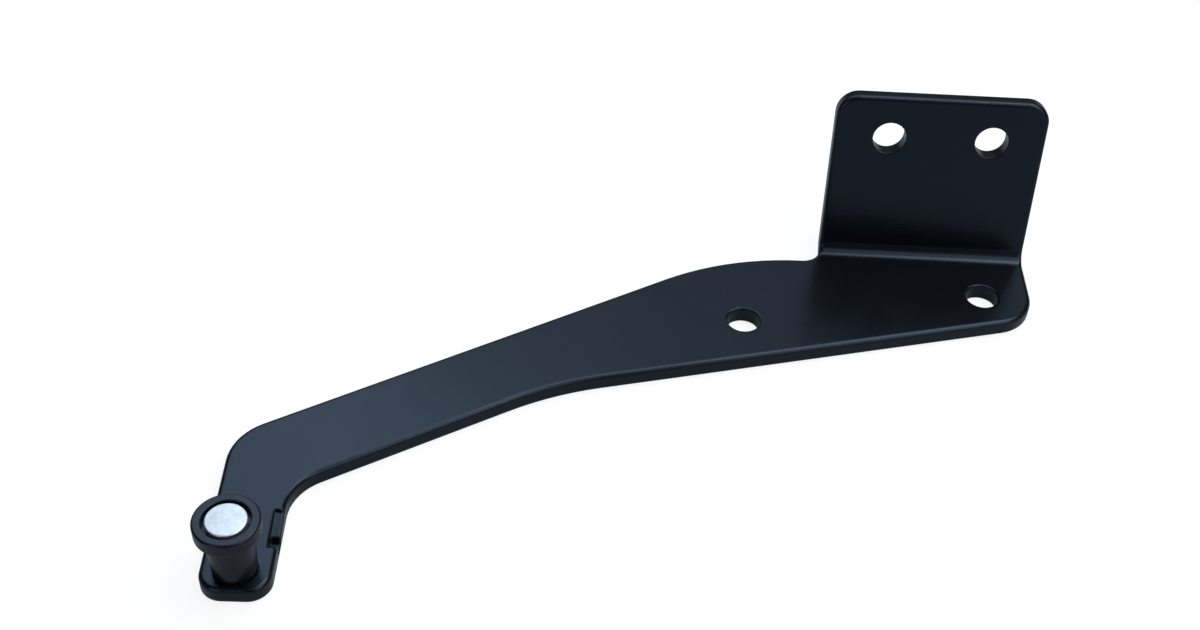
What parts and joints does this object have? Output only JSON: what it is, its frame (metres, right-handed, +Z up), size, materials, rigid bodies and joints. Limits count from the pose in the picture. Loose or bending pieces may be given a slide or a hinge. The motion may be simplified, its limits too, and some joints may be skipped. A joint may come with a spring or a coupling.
{
  "type": "sliding door roller guide",
  "caption": "Stamped steel bracket with an upturned screw flange, an angled arm and a flanged plastic roller riveted upright to the arm's foot.",
  "frame": {"origin": "on the axis of the plate's right screw hole, at the plate's underside", "axes": "+Z up along that hole and along the roller's pin, +X to the right along the bend of the flange, +Y back towards the flange"},
  "size_m": [0.2055, 0.1408, 0.0508],
  "materials": {
    "black_paint": "black dip paint on stamped steel, semi-gloss, slightly rippled",
    "black_plastic": "moulded black engineering plastic, satin",
    "zinc_steel": "bright zinc-plated steel, finely mottled"
  },
  "bodies": {
    "bracket": {"arm_bracket": "black_paint", "thrust_washer": "black_plastic", "spacer_sleeve": "zinc_steel", "rivet_pin": "zinc_steel"},
    "roller": {"roller": "black_plastic"}
  },
  "joints": [
    {"name": "roller_spin", "type": "hinge", "parent": "bracket", "child": "roller", "pos_m": [-0.1833, -0.1038, 0.013], "axis": [0, 0, 1], "continuous": true}
  ]
}
